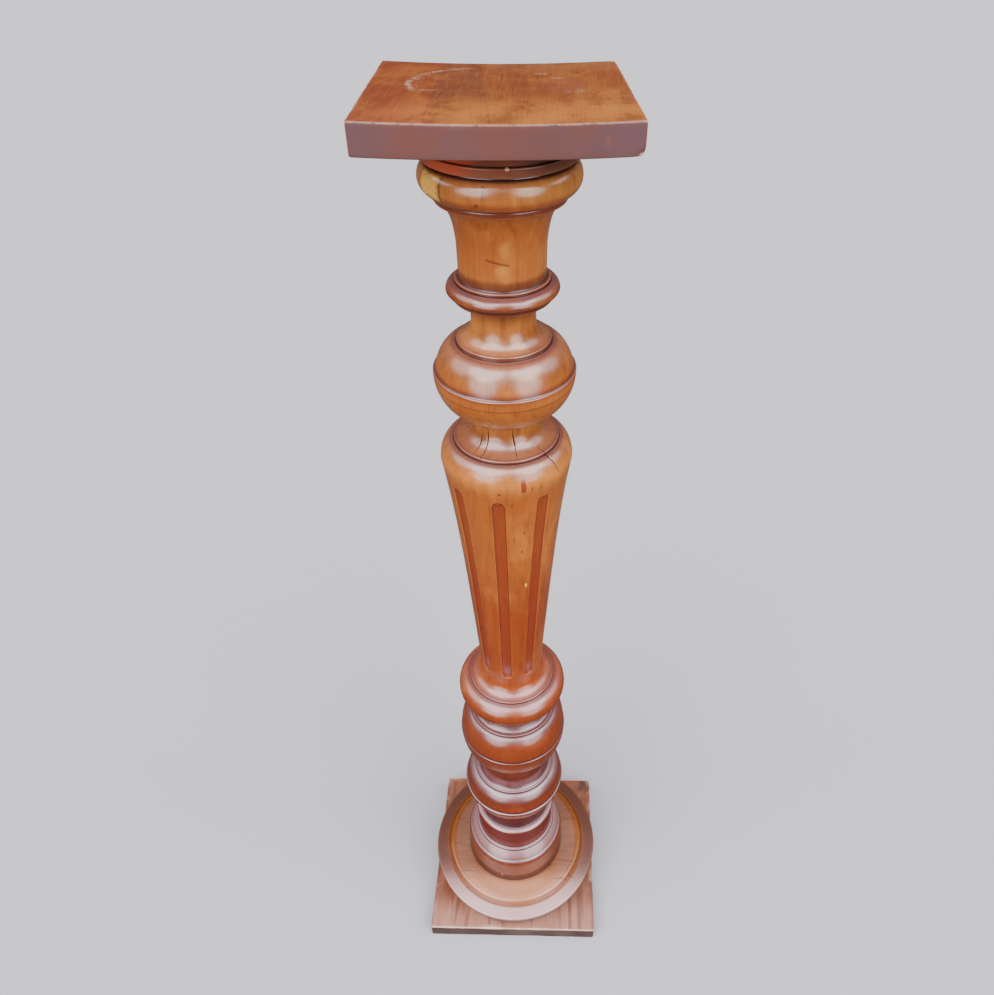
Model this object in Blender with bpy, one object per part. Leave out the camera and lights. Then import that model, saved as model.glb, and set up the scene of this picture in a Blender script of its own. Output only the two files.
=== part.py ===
"""Fluted wooden column: a turned pedestal of five wooden pieces that stand on one another.

From the floor up: a square plinth board, a round base disc, one long turned and fluted shaft, a
small turned ring and a square top slab. The shaft is a lathe outline with eight gouged flutes.
Metres, +Z up, front towards -Y, the plinth centred on the origin. The sizes below are millimetres.
"""

import math

import bmesh
import bpy

MM = 0.001
GAP = 0.3  # air left between two pieces that rest on each other

# The whole object
TOTAL_HEIGHT = 1200
SHAFT_SIDES = 28
DISC_SIDES = 32
SEAM_MERGE = 0.00001

# Square boards
PLINTH_SIDE = 250
PLINTH_THICKNESS = 23
SLAB_SIDE = 209
SLAB_THICKNESS = 27.4  # a 24.7 mm board that has cupped by almost 3 mm
SLAB_TURN = math.radians(3.1)  # the slab sits a little askew on the shaft
BOARD_ARRIS = 1.2
ARRIS_SEGMENTS = 2

# Base disc
DISC_BOTTOM = PLINTH_THICKNESS + GAP
DISC_TOP = 68
DISC_RADIUS = 127
DISC_FOOT_RADIUS = 110
DISC_RIM = (57, 53)  # upper and lower edge of the upright rim
DISC_EASE = (1.2, 0.6)  # how far the rim's upper edge is eased, inwards and up
DISC_FLANGE = (109.5, 59.5)
DISC_STEP = (104.5, 64)
DISC_PLATEAU = (97, DISC_TOP)

# Ring between the shaft and the slab
RING_TOP = TOTAL_HEIGHT - SLAB_THICKNESS - GAP
RING_STEP = 1156
RING_BOTTOM = 1147.7
RING_RADII = (64.4, 66.1)
RING_EASE = 0.8

# Shaft mouldings from the top down. A point is (radius, height above the floor). A torus is its
# top edge, its widest point and its bottom edge. A fillet, a step or an arris is an upright band:
# its radius, its top and its bottom.
SHAFT_TOP = RING_BOTTOM - GAP
SHAFT_BOTTOM = DISC_TOP + GAP
SEAT = (60, SHAFT_TOP, 1144.8)
CAPITAL_TORUS = ((63, 1144.8), (70.2, 1132.4), (56.5, 1118.6))
CAPITAL_FILLET = (58, 1117.8, 1113.2)
BELL = ((56.8, 1112.8), (40.6, 1067.3))
BELL_FOOT = (40.3, 1041.8)
COLLAR_STEP = (44.1, 1041.8, 1039.2)
COLLAR_TORUS = ((43.2, 1038.8), (52.7, 1030.3), (47.4, 1026.9))
COLLAR_FILLET = (46.4, 1026.8, 1021.4)
THROAT_TOP = (31.6, 1021)
THROAT_COVE = ((30.8, 1001), (44.4, 980.8))
THROAT_FILLET = (45.8, 980, 976.8)
BULB_CROWN = ((45.2, 976.4), (69.2, 935.5))
BULB_CROWN_SHARE = 0.8  # the crown stops at the arris, before it turns upright
BULB_ARRIS = (70.2, 947.2, 944.5)
BULB_BELLY = ((70.2, 944.5), (33.8, 900.5))
WAIST_COVE = ((33.8, 888), (52.6, 869))
WAIST_FILLET = (54.4, 868.4, 866)
SHOULDER_EDGE = (53.4, 865.6)
TAPER_TOP = (69.2, 843)
TAPER_FOOT = (38.3, 505)
TAPER_STRAIGHT_SHARE = 0.78  # the rest of the swelling comes in towards the shoulder
FLARE_EDGE = (52.6, 487.2)
FLARE_FILLET = (54.2, 487, 485.2)
UPPER_TORUS = ((52.8, 484.8), (69.6, 466.4), (51.5, 449))
UPPER_HOLLOW = ((49.5, 448.6), (45.6, 437))
UPPER_COVE = ((45.6, 435), (54.2, 419.4))
UPPER_FILLET = (56.3, 419, 417.2)
MIDDLE_CROWN = ((55, 416.8), (70.7, 378.6))
MIDDLE_ARRIS = (71.7, 377.8, 376.4)
MIDDLE_BELLY = ((71.7, 376.4), (53.5, 339))
MIDDLE_HOLLOW = ((50, 338.6), (46, 320))
MIDDLE_COVE = ((46, 314), (53.6, 284.8))
MIDDLE_FILLET = (55.6, 284.2, 282.2)
LOWER_CROWN = ((54.4, 281.8), (69.4, 252.4))
LOWER_ARRIS = (71.2, 251.4, 248.8)
LOWER_BELLY = ((69.4, 247.6), (51.6, 223))
BARREL = (50.5, 222, 181.5)
BEAD = ((51.5, 181.5), (58.6, 176.8))
BEAD_FOOT = (58, 172.6)
LOWER_BARREL = (56, 171.4, 136)
FOOT_COVE = ((56, 136), (58.4, 133.5))
FOOT_FILLET = (59.4, 133.2, 131)
OVOLO = ((59.4, 131), (69.0, 119.2))
OVOLO_RISE = 0.5  # how far it bulges out of the straight line between its ends
OVOLO_GROOVE = (67.0, 117.8)
DRUM_TOP = (72.6, 106)
DRUM_FOOT = (73.4, SHAFT_BOTTOM)

# Flutes
# Degrees round from the front. The flutes are spaced by eye, the three at the front a little closer.
FLUTE_TURNS = (-47.2, -4.9, 37.2, 83.1, 129.1, 175, 220.9, 266.9)
FLUTE_TOP_WIDTH = 15
FLUTE_FOOT_WIDTH = 12
FLUTE_DEPTH = 4.4
FLUTE_TOP = 826
FLUTE_BOTTOM = 516
FLUTE_STATIONS = 5
CUTTER_SIDES = 8
CUTTER_CAP_STEPS = 2

# Wood colours, as linear red, green and blue, with roughness
TOP_BROWN = ((0.300, 0.112, 0.045), 0.34)
RING_RED = ((0.165, 0.044, 0.022), 0.36)
SHAFT_HONEY = ((0.420, 0.150, 0.042), 0.27)
DISC_AMBER = ((0.440, 0.175, 0.070), 0.30)
PLINTH_BROWN = ((0.330, 0.128, 0.062), 0.38)


def clear_scene():
    """Removes whatever the open file holds."""
    for obj in list(bpy.data.objects):
        bpy.data.objects.remove(obj, do_unlink=True)


def wood(name, look):
    """A varnished wood material from a colour and a roughness."""
    colour, roughness = look
    material = bpy.data.materials.new(name)
    material.use_nodes = True
    shader = material.node_tree.nodes["Principled BSDF"]
    shader.inputs["Base Color"].default_value = (*colour, 1.0)
    shader.inputs["Roughness"].default_value = roughness
    shader.inputs["Metallic"].default_value = 0.0
    return material


def add_object(name, mesh, material=None):
    """A new object in the scene that shows this mesh."""
    obj = bpy.data.objects.new(name, mesh)
    bpy.context.scene.collection.objects.link(obj)
    if material:
        obj.data.materials.append(material)
    return obj


def crown(ends, steps, share=1.0):
    """A quarter ellipse that leaves its first end level and turns upright at its second.

    A share under 1 stops it before the second end. Both end points are in the result.
    """
    (r0, z0), (r1, z1) = ends
    turns = [share * math.pi / 2 * i / steps for i in range(steps + 1)]
    return [(r0 + (r1 - r0) * math.sin(t), z1 + (z0 - z1) * math.cos(t)) for t in turns]


def cove(ends, steps):
    """A quarter ellipse that leaves its first end upright and turns level at its second."""
    (r0, z0), (r1, z1) = ends
    turns = [math.pi / 2 * i / steps for i in range(steps + 1)]
    return [(r1 + (r0 - r1) * math.cos(t), z0 + (z1 - z0) * math.sin(t)) for t in turns]


def swell(ends, rise, steps):
    """A shallow bulge between two ends: the straight line plus a parabola that stands rise out."""
    (r0, z0), (r1, z1) = ends
    length = math.hypot(r1 - r0, z1 - z0)
    out_r, out_z = (z0 - z1) / length, (r1 - r0) / length
    shares = [i / steps for i in range(steps + 1)]
    lifts = [4 * rise * share * (1 - share) for share in shares]
    return [
        (r0 + (r1 - r0) * share + out_r * lift, z0 + (z1 - z0) * share + out_z * lift)
        for share, lift in zip(shares, lifts)
    ]


def torus(points, upper_steps, lower_steps):
    """A ring moulding: out from its top edge to its widest point, and back in to its bottom."""
    top, widest, bottom = points
    return crown((top, widest), upper_steps) + cove((widest, bottom), lower_steps)[1:]


def band(size):
    """An upright band: a fillet, a step, an arris or a plain barrel."""
    radius, top, bottom = size
    return [(radius, top), (radius, bottom)]


def taper_radius(height):
    """Radius of the fluted taper: nearly straight below, swelling faster near the shoulder."""
    (top_radius, top), (foot_radius, foot) = TAPER_TOP, TAPER_FOOT
    share = (height - foot) / (top - foot)
    widening = TAPER_STRAIGHT_SHARE * share + (1 - TAPER_STRAIGHT_SHARE) * share**4
    return foot_radius + (top_radius - foot_radius) * widening


def taper(steps):
    """Points down the fluted taper at even heights."""
    top, foot = TAPER_TOP[1], TAPER_FOOT[1]
    heights = [top + (foot - top) * i / steps for i in range(steps + 1)]
    return [(taper_radius(z), z) for z in heights]


def shaft_profile():
    """The shaft's outline, from the axis at its top to the axis at its bottom."""
    capital = band(SEAT) + torus(CAPITAL_TORUS, 3, 3) + band(CAPITAL_FILLET)
    bell = crown(BELL, 5) + [BELL_FOOT]
    collar = band(COLLAR_STEP) + torus(COLLAR_TORUS, 3, 3) + band(COLLAR_FILLET)
    throat = [THROAT_TOP] + cove(THROAT_COVE, 4) + band(THROAT_FILLET)
    bulb = crown(BULB_CROWN, 5, BULB_CROWN_SHARE) + band(BULB_ARRIS) + cove(BULB_BELLY, 5)[1:]
    waist = cove(WAIST_COVE, 4) + band(WAIST_FILLET)
    shoulder = crown((SHOULDER_EDGE, TAPER_TOP), 4)[:-1]
    flare = cove((TAPER_FOOT, FLARE_EDGE), 4)[1:] + band(FLARE_FILLET)
    upper = torus(UPPER_TORUS, 4, 4) + crown(UPPER_HOLLOW, 2)
    upper += cove(UPPER_COVE, 3) + band(UPPER_FILLET)
    middle = crown(MIDDLE_CROWN, 4) + band(MIDDLE_ARRIS) + cove(MIDDLE_BELLY, 4)[1:]
    middle += crown(MIDDLE_HOLLOW, 2) + cove(MIDDLE_COVE, 3) + band(MIDDLE_FILLET)
    lower = crown(LOWER_CROWN, 3) + band(LOWER_ARRIS) + cove(LOWER_BELLY, 3)
    barrel = band(BARREL) + crown(BEAD, 3)[1:] + [BEAD_FOOT] + band(LOWER_BARREL)
    foot = cove(FOOT_COVE, 2)[1:] + band(FOOT_FILLET) + swell(OVOLO, OVOLO_RISE, 3)[1:]
    drum = crown((OVOLO_GROOVE, DRUM_TOP), 3) + [DRUM_FOOT]
    upper_part = capital + bell + collar + throat + bulb + waist + shoulder
    lower_part = taper(7) + flare + upper + middle + lower + barrel + foot + drum
    return [(0, SHAFT_TOP)] + upper_part + lower_part + [(0, SHAFT_BOTTOM)]


def disc_profile():
    """Base disc: plateau with a rounded edge, cove, flange and an undercut rim."""
    upper_edge, lower_edge = DISC_RIM
    inward, up = DISC_EASE
    plateau = [(0, DISC_TOP)] + crown((DISC_PLATEAU, DISC_STEP), 3)
    flange = cove((DISC_STEP, DISC_FLANGE), 2)[1:] + [(DISC_RADIUS - inward, upper_edge + up)]
    rim = [(DISC_RADIUS, upper_edge - up)]
    undercut = crown(((DISC_RADIUS, lower_edge), (DISC_FOOT_RADIUS, DISC_BOTTOM)), 3)
    return plateau + flange + rim + undercut + [(0, DISC_BOTTOM)]


def cap_ring_profile():
    """Small turned ring whose lower band stands a little proud of the upper one."""
    upper, lower = RING_RADII
    bands = band((upper, RING_TOP, RING_STEP)) + band((lower, RING_STEP - RING_EASE, RING_BOTTOM))
    return [(0, RING_TOP)] + bands + [(0, RING_BOTTOM)]


def turned(name, profile, sides, material):
    """A solid of revolution about Z from an outline that runs from the axis, down and back."""
    mesh = bpy.data.meshes.new(name)
    points = [(radius * MM, 0.0, height * MM) for radius, height in profile]
    edges = [(i, i + 1) for i in range(len(points) - 1)]
    mesh.from_pydata(points, edges, [])
    obj = add_object(name, mesh, material)
    screw = obj.modifiers.new("Turn", "SCREW")
    screw.axis = "Z"
    screw.angle = math.tau
    screw.steps = sides
    screw.render_steps = sides
    screw.use_merge_vertices = True
    screw.merge_threshold = SEAM_MERGE
    screw.use_smooth_shade = True
    return obj


def board(name, side, low, high, turn, material):
    """A square board with its arrises eased, centred on the axis."""
    mesh = bpy.data.meshes.new(name)
    form = bmesh.new()
    bmesh.ops.create_cube(form, size=MM)
    bmesh.ops.scale(form, vec=(side, side, high - low), verts=form.verts)
    form.to_mesh(mesh)
    form.free()
    obj = add_object(name, mesh, material)
    obj.location.z = (low + high) / 2 * MM
    obj.rotation_euler.z = turn
    easing = obj.modifiers.new("Eased arris", "BEVEL")
    easing.width = BOARD_ARRIS * MM
    easing.segments = ARRIS_SEGMENTS
    easing.limit_method = "ANGLE"
    return obj


def cutter_radius(height):
    """Radius of the cutter bar where it cuts a groove of the stated width and depth."""
    high, low = FLUTE_TOP - FLUTE_TOP_WIDTH / 2, FLUTE_BOTTOM + FLUTE_FOOT_WIDTH / 2
    share = (height - low) / (high - low)
    half = (FLUTE_FOOT_WIDTH + (FLUTE_TOP_WIDTH - FLUTE_FOOT_WIDTH) * share) / 2
    return (half**2 + FLUTE_DEPTH**2) / (2 * FLUTE_DEPTH)


def cutter_stations():
    """Distance out, height and radius of each ring of a flute cutter, from the top down.

    The cutter is a round bar with ball ends, a little thicker at its top. Its centre line runs
    outside the taper's surface, so that its deepest point stays at the flute's depth.
    """
    high, low = FLUTE_TOP - FLUTE_TOP_WIDTH / 2, FLUTE_BOTTOM + FLUTE_FOOT_WIDTH / 2
    turns = [math.pi / 2 * i / (CUTTER_CAP_STEPS + 1) for i in range(CUTTER_CAP_STEPS, 0, -1)]
    straight = FLUTE_STATIONS - 1
    rings = [(high, math.sin(t), math.cos(t)) for t in turns]
    rings += [(high + (low - high) * i / straight, 0, 1) for i in range(FLUTE_STATIONS)]
    rings += [(low, -math.sin(t), math.cos(t)) for t in reversed(turns)]
    stations = []
    for height, rise, size in rings:
        radius = cutter_radius(height)
        out = taper_radius(height) + radius - FLUTE_DEPTH
        stations.append((out, height + radius * rise, radius * size))
    return stations


def cutter_ring(form, turn, station):
    """One ring of points of the cutter bar that stands at this turn about Z."""
    out, height, radius = station
    points = []
    for side in range(CUTTER_SIDES):
        angle = math.tau * (side + 0.5) / CUTTER_SIDES
        forward = out + radius * math.cos(angle)
        across = radius * math.sin(angle)
        x = math.sin(turn) * forward + math.cos(turn) * across
        y = math.sin(turn) * across - math.cos(turn) * forward
        points.append(form.verts.new((x * MM, y * MM, height * MM)))
    return points


def flute_cutter():
    """Eight round bars with ball ends, in one mesh, that gouge the flutes."""
    form = bmesh.new()
    for turn in FLUTE_TURNS:
        rings = [cutter_ring(form, math.radians(turn), station) for station in cutter_stations()]
        for upper, lower in zip(rings, rings[1:]):
            for side in range(CUTTER_SIDES):
                after = (side + 1) % CUTTER_SIDES
                form.faces.new((upper[side], lower[side], lower[after], upper[after]))
        form.faces.new(rings[0])
        form.faces.new(rings[-1][::-1])
    bmesh.ops.recalc_face_normals(form, faces=form.faces)
    mesh = bpy.data.meshes.new("flute_cutter")
    form.to_mesh(mesh)
    form.free()
    obj = add_object("flute_cutter", mesh)
    obj.hide_render = True
    obj.display_type = "WIRE"
    return obj


def build():
    """Makes the five pieces from the floor up."""
    clear_scene()
    plinth_wood = wood("plinth_wood", PLINTH_BROWN)
    board("plinth_board", PLINTH_SIDE, 0, PLINTH_THICKNESS, 0, plinth_wood)
    turned("base_disc", disc_profile(), DISC_SIDES, wood("disc_wood", DISC_AMBER))
    shaft_wood = wood("shaft_wood", SHAFT_HONEY)
    shaft = turned("turned_shaft", shaft_profile(), SHAFT_SIDES, shaft_wood)
    flutes = shaft.modifiers.new("Flutes", "BOOLEAN")
    flutes.operation = "DIFFERENCE"
    flutes.object = flute_cutter()
    turned("cap_ring", cap_ring_profile(), SHAFT_SIDES, wood("ring_wood", RING_RED))
    slab_wood = wood("slab_wood", TOP_BROWN)
    slab_bottom = TOTAL_HEIGHT - SLAB_THICKNESS
    board("top_slab", SLAB_SIDE, slab_bottom, TOTAL_HEIGHT, SLAB_TURN, slab_wood)


build()
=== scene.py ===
# %% [markdown]
# # A fluted wooden column
#
# The object is a turned pedestal: a square plinth board, a round base disc, one long turned shaft
# with eight flutes, a small ring and a square top slab. It is old varnished wood, honey and
# red-brown, glossy on the mouldings, scuffed on top. The solid model is loaded first, as a frame
# that gives every place and size. Each solid is then dressed in a finer surface of the same form.

import bpy
import numpy as np
from mathutils import Matrix


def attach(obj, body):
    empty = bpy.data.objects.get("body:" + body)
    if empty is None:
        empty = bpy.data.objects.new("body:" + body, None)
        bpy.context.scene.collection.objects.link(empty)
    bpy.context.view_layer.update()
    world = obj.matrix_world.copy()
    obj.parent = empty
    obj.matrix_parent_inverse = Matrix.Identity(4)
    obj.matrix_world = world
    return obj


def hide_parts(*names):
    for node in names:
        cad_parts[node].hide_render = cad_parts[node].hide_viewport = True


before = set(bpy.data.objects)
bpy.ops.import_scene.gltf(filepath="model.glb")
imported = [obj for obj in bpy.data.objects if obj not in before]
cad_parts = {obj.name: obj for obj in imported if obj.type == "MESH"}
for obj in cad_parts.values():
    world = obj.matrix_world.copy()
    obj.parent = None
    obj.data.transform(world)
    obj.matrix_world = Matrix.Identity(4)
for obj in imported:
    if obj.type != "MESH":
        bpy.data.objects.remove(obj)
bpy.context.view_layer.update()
MM = 0.001
print("solids:", sorted(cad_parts))

# %% [markdown]
# ## Camera
#
# The photograph was taken from a little above the column's top, looking down some 36 degrees. The
# lens was wide, so the foot looks small and the slab large. The camera's place and turn were
# worked out from the corners of the two boards. The picture's centre is not quite on the lens
# axis, which a small shift gives.

# %% Camera
FRAME_WIDE, FRAME_TALL = 994, 995  # pixels
SENSOR = 36.0
FOCAL_PIXELS = 797.6
LENS_CENTRE = (541.9, 450.0)  # pixels from the picture's top left corner
FAR_CLIP = 60.0
EYE = (0.0456, -0.6763, 1.3412)
YAW, PITCH, ROLL = 0.01263, 0.63323, 0.00905


def aim(place, yaw, pitch, roll):
    """A camera matrix: turned left by yaw, tipped down by pitch, then rolled, all in radians."""
    turn = Matrix.Rotation(yaw, 4, "Z") @ Matrix.Rotation(np.pi / 2 - pitch, 4, "X")
    return Matrix.Translation(place) @ turn @ Matrix.Rotation(roll, 4, "Z")


lens_data = bpy.data.cameras.new("photo_lens")
lens_data.sensor_width = SENSOR
lens_data.lens = FOCAL_PIXELS * SENSOR / FRAME_TALL
lens_data.shift_x = (FRAME_WIDE / 2 - LENS_CENTRE[0]) / FRAME_TALL
lens_data.shift_y = (LENS_CENTRE[1] - FRAME_TALL / 2) / FRAME_TALL
lens_data.clip_end = FAR_CLIP
photo_camera = bpy.data.objects.new("photo_camera", lens_data)
bpy.context.scene.collection.objects.link(photo_camera)
photo_camera.matrix_world = aim(EYE, YAW, PITCH, ROLL)
bpy.context.scene.camera = photo_camera
print("lens", round(lens_data.lens, 2), "mm")

# %% [markdown]
# ## Outlines on the lathe
#
# A turner cuts a few shapes over and over: a convex quarter round (crown), a hollow quarter round
# (cove), a shallow bulge (swell) and a flat band (fillet). Each is a quarter of an ellipse, a
# parabola over a straight line, or a plain straight line, between two points that are a radius and
# a height. The outline is a list of such strokes. A sharp corner would look like a knife edge, so
# each is eased by a fraction of a millimetre and held by a pair of nearby rows, which keeps the
# shading of the flats clean.


# %% Strokes of an outline
def crown(start, end, count, share=1.0):
    """Quarter ellipse that leaves start level and turns upright at end: rows of radius, height."""
    turn = np.linspace(0, share * np.pi / 2, count + 1)
    radius = start[0] + (end[0] - start[0]) * np.sin(turn)
    return np.stack([radius, end[1] + (start[1] - end[1]) * np.cos(turn)], axis=1)


def cove(start, end, count):
    """Quarter ellipse that leaves start upright and turns level at end: rows of radius, height."""
    turn = np.linspace(0, np.pi / 2, count + 1)
    radius = end[0] + (start[0] - end[0]) * np.cos(turn)
    return np.stack([radius, start[1] + (end[1] - start[1]) * np.sin(turn)], axis=1)


def swell(start, end, rise, count):
    """Straight line from start to end, plus a parabola that stands rise out at its middle."""
    start, end = np.array(start, float), np.array(end, float)
    share = np.linspace(0, 1, count + 1)[:, None]
    way = (end - start) / np.hypot(*(end - start))
    outwards = np.array([-way[1], way[0]])
    return start + (end - start) * share + outwards * 4 * rise * share * (1 - share)


def band(radius, top, bottom):
    """Upright flat band at one radius, from top to bottom."""
    return np.array([[radius, top], [radius, bottom]], float)


def outline(*strokes):
    """All strokes joined, with doubled points left out."""
    points = np.concatenate([np.atleast_2d(np.array(stroke, float)) for stroke in strokes])
    keep = np.r_[True, np.hypot(*np.diff(points, axis=0).T) > 0.05]
    return points[keep]


# %% Easing the corners
EASE_LIMIT, HOLD_LIMIT = 0.24, 0.46  # the most of a stroke that an eased or a held row takes up


def eased(points, ease=0.4, hold=1.1, sharp=22.0):
    """The outline with each sharp corner cut off by ease and held at hold, in millimetres.

    A corner is a point where the outline turns by more than sharp degrees. The result also tells
    how far each row turns: above zero on an arris, below zero in a crease.
    """
    step = np.diff(points, axis=0)
    length = np.hypot(*step.T)
    along = step / length[:, None]
    heading = np.unwrap(np.arctan2(along[:, 1], along[:, 0]))
    turn = np.degrees(np.diff(heading))
    corner = np.r_[False, np.abs(turn) > sharp, False]
    turn = np.r_[0.0, turn, 0.0]
    back, before = -np.vstack([along[:1], along]), np.r_[1.0, length]
    ahead, after = np.vstack([along, along[-1:]]), np.r_[length, 1.0]
    moves = ((back, before, hold, HOLD_LIMIT), (back, before, ease, EASE_LIMIT))
    moves += ((ahead, after, ease, EASE_LIMIT), (ahead, after, hold, HOLD_LIMIT))
    rows = [points + np.minimum(far, span * limit)[:, None] * way for way, span, far, limit in moves]
    many = np.stack(rows, axis=1)
    many[~corner] = points[~corner][:, None, :]
    used = np.ones((len(points), 4), bool)
    used[~corner, 1:] = False
    bend = np.where(corner, turn, 0.0)[:, None] * np.array([0.0, 0.5, 0.5, 0.0])
    return many[used], -bend[used] / 90.0


def upward(points):
    """How much each row of an outline faces up, from -1 to 1: the share of level in its stroke."""
    across, fall = np.gradient(points[:, 0]), np.gradient(points[:, 1])
    return across / np.maximum(np.hypot(across, fall), 1e-6)


def soft_edges(points, bend, reach):
    """The turn of the outline spread over reach millimetres on both sides of each corner."""
    walk = np.r_[0.0, np.cumsum(np.hypot(*np.diff(points, axis=0).T))]
    near = np.exp(-(((walk[:, None] - walk[None, :]) / reach) ** 2))
    return np.clip(near @ bend, -1.0, 1.0)


print("a crown of four steps:", crown((0, 10), (5, 5), 4).round(1).tolist()[1])

# %% [markdown]
# ## Uneven surfaces
#
# Nothing that was turned by hand and used for long is perfectly smooth. A few crossed waves of
# unlike lengths make a gentle unevenness that never repeats on the piece. It is worked out from
# the place of each point, so that it closes on itself all the way round.


# %% Gentle waves
def waves(x, y, z, size, seed, count=7):
    """Sum of sine waves in fixed scattered directions, each about size long, between -1 and 1."""
    dice = np.random.default_rng(seed)
    ways = dice.normal(size=(count, 3))
    rate = dice.uniform(0.6, 1.8, count) * 2 * np.pi / size / np.linalg.norm(ways, axis=1)
    ways *= rate[:, None]
    start = dice.uniform(0, 2 * np.pi, count)
    total = sum(np.sin(w[0] * x + w[1] * y + w[2] * z + s) for w, s in zip(ways, start))
    return total / count**0.5 / 1.6


# %% Meshes from grids of points
def put_mesh(name, points, faces, marks):
    """A smooth-shaded mesh object from points in millimetres, with numbers stored per point."""
    mesh = bpy.data.meshes.new(name)
    mesh.from_pydata((points * MM).tolist(), [], faces)
    for mark, values in marks.items():
        store = mesh.attributes.new(mark, "FLOAT", "POINT")
        store.data.foreach_set("value", np.ascontiguousarray(values, np.float32).ravel())
    mesh.validate()
    mesh.shade_smooth()
    piece = bpy.data.objects.new(name, mesh)
    bpy.context.scene.collection.objects.link(piece)
    return piece


def grid_faces(rows, columns):
    """Four-sided faces of a grid that closes on itself sideways, rows running down."""
    row, column = np.meshgrid(np.arange(rows - 1), np.arange(columns), indexing="ij")
    beside = (column + 1) % columns
    corners = [row * columns + column, (row + 1) * columns + column]
    corners += [(row + 1) * columns + beside, row * columns + beside]
    return np.stack(corners, axis=-1).reshape(-1, 4).tolist()


def closed_piece(name, x, y, z, marks):
    """A closed shell from grids of points: rows run from the top pole down to the bottom pole."""
    rows, columns = x.shape
    points = np.stack([x, y, z], axis=-1).reshape(-1, 3)
    poles = np.array([[grid[row].mean() for grid in (x, y, z)] for row in (0, -1)])
    count = len(points)
    ring = np.arange(columns)
    beside = (ring + 1) % columns
    top = np.stack([np.full(columns, count), ring, beside], axis=1).tolist()
    last = (rows - 1) * columns
    bottom = np.stack([np.full(columns, count + 1), last + beside, last + ring], axis=1).tolist()
    faces = grid_faces(rows, columns) + top + bottom
    stored = {}
    for mark, values in marks.items():
        stored[mark] = np.r_[values.ravel(), values[0].mean(), values[-1].mean()]
    piece = put_mesh(name, np.vstack([points, poles]), faces, stored)
    print(name, "has", 2 * rows * columns, "triangles")
    return piece


# %% [markdown]
# ## The shaft's outline
#
# The shaft is one piece: capital, bell, collar, throat, bulb, waist, shoulder, fluted taper, three
# rings, a beaded barrel, an ovolo and a drum. Its strokes use the same radii and heights as the
# solid, in millimetres, with many more rows on each curve.

# %% Strokes of the shaft
DRUM_FOOT = 68.3
SHAFT_TOP = 1147.4
TAPER_TOP, TAPER_FOOT = (69.2, 843.0), (38.3, 505.0)
STRAIGHT_SHARE = 0.78


def taper_radius(height):
    """Taper radius: a straight line plus a fourth power of the height, which rounds the shoulder."""
    share = (height - TAPER_FOOT[1]) / (TAPER_TOP[1] - TAPER_FOOT[1])
    widening = STRAIGHT_SHARE * share + (1 - STRAIGHT_SHARE) * share**4
    return TAPER_FOOT[0] + (TAPER_TOP[0] - TAPER_FOOT[0]) * widening


def taper(count_top, count_middle, count_foot):
    """Rows down the taper, close together where the flutes begin and end."""
    lengths = [(TAPER_TOP[1], 832, 2), (832, 808, count_top), (808, 546, count_middle)]
    lengths += [(546, 526, 6), (526, 511, count_foot), (511, TAPER_FOOT[1], 2)]
    heights = np.concatenate([np.linspace(a, b, n, endpoint=False) for a, b, n in lengths])
    return np.stack([taper_radius(heights), heights], axis=1)


capital = outline(
    band(60, SHAFT_TOP, 1144.8),
    crown((63, 1144.8), (70.2, 1132.4), 9),
    cove((70.2, 1132.4), (56.5, 1118.6), 10),
    band(58, 1117.8, 1113.2),
    crown((56.8, 1112.8), (40.6, 1067.3), 14),
    [(40.35, 1054), (40.3, 1041.8)],
)
collar = outline(
    band(44.1, 1041.8, 1039.2),
    crown((43.2, 1038.8), (52.7, 1030.3), 8),
    cove((52.7, 1030.3), (47.4, 1026.9), 5),
    band(46.4, 1026.8, 1021.4),
    [(31.6, 1021), (31.1, 1011)],
    cove((30.8, 1001), (44.4, 980.8), 12),
    band(45.8, 980, 976.8),
)
bulb = outline(
    crown((45.2, 976.4), (69.2, 935.5), 14, 0.8),
    band(70.2, 947.2, 944.5),
    cove((70.2, 944.5), (33.8, 900.5), 18),
    [(33.7, 894)],
    cove((33.8, 888), (52.6, 869), 12),
    band(54.4, 868.4, 866),
    crown((53.4, 865.6), TAPER_TOP, 9)[:-1],
)
flare = outline(
    cove(TAPER_FOOT, (52.6, 487.2), 10),
    band(54.2, 487, 485.2),
)
rings = outline(
    crown((52.8, 484.8), (69.6, 466.4), 10),
    cove((69.6, 466.4), (51.5, 449), 10),
    crown((49.5, 448.6), (45.6, 437), 4),
    cove((45.6, 435), (54.2, 419.4), 8),
    band(56.3, 419, 417.2),
    crown((55, 416.8), (70.7, 378.6), 14),
    band(71.7, 377.8, 376.4),
    cove((71.7, 376.4), (53.5, 339), 13),
    crown((50, 338.6), (46, 320), 5),
    cove((46, 314), (53.6, 284.8), 9),
    band(55.6, 284.2, 282.2),
    crown((54.4, 281.8), (69.4, 252.4), 11),
    band(71.2, 251.4, 248.8),
    cove((69.4, 247.6), (51.6, 223), 9),
)
barrel = outline(
    band(50.5, 222, 181.5),
    crown((51.5, 181.5), (58.6, 176.8), 5),
    [(58, 172.6)],
    band(56, 171.4, 136),
    cove((56, 136), (58.4, 133.5), 4),
    band(59.4, 133.2, 131),
    swell((59.4, 131), (69.0, 119.2), 0.5, 8),
    crown((67.0, 117.8), (72.6, 106), 8),
    [(73.0, 88), (73.4, DRUM_FOOT)],
)
whole = outline(capital, collar, bulb, taper(20, 42, 16), flare, rings, barrel)
shaft_rows, shaft_bend = eased(whole)
print("the shaft's outline has", len(shaft_rows), "rows")

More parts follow.
